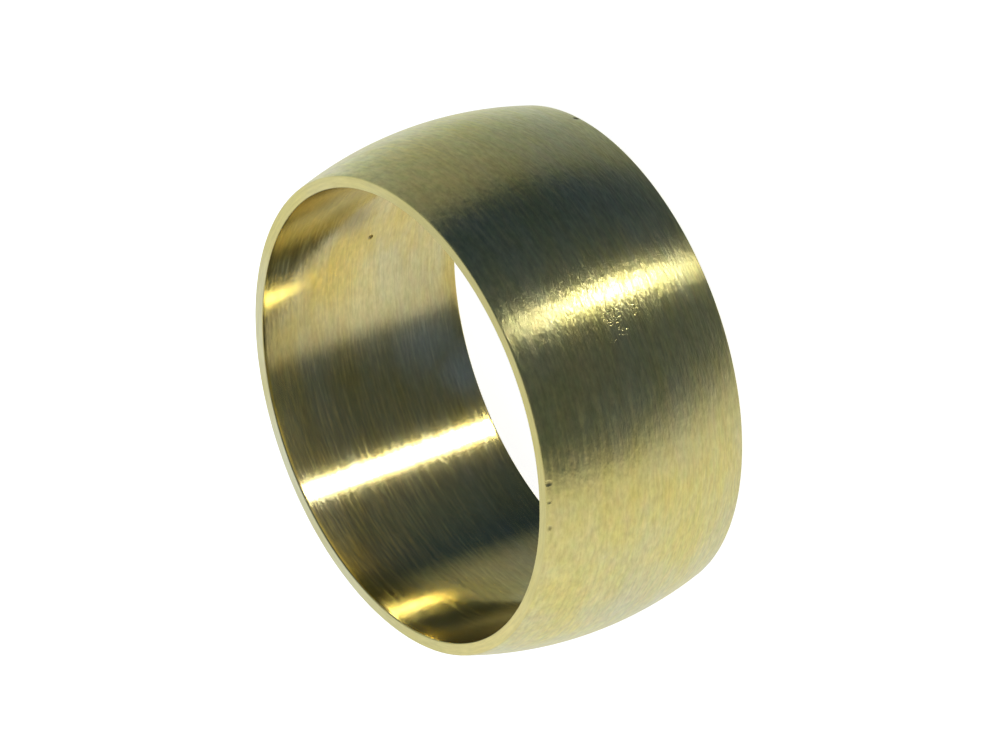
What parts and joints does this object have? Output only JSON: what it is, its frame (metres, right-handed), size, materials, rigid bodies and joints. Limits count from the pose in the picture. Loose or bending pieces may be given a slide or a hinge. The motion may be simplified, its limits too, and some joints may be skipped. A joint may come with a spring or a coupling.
{
  "type": "compression ring",
  "caption": "Barrel-shaped brass ring that slides over a tube and is squeezed onto it between the cones of a compression fitting.",
  "frame": {"origin": "centre of the lower flat end, on the axis of the bore", "axes": "+Z along the axis of the bore, up from the end that the ring stands on; the ring is the same all round, so +X and +Y are free"},
  "size_m": [0.017, 0.017, 0.0076],
  "materials": {
    "brass": "turned, with fine marks that run round the ring, satin, bare"
  },
  "bodies": {
    "root": {"compression_ring": "brass"}
  },
  "joints": []
}
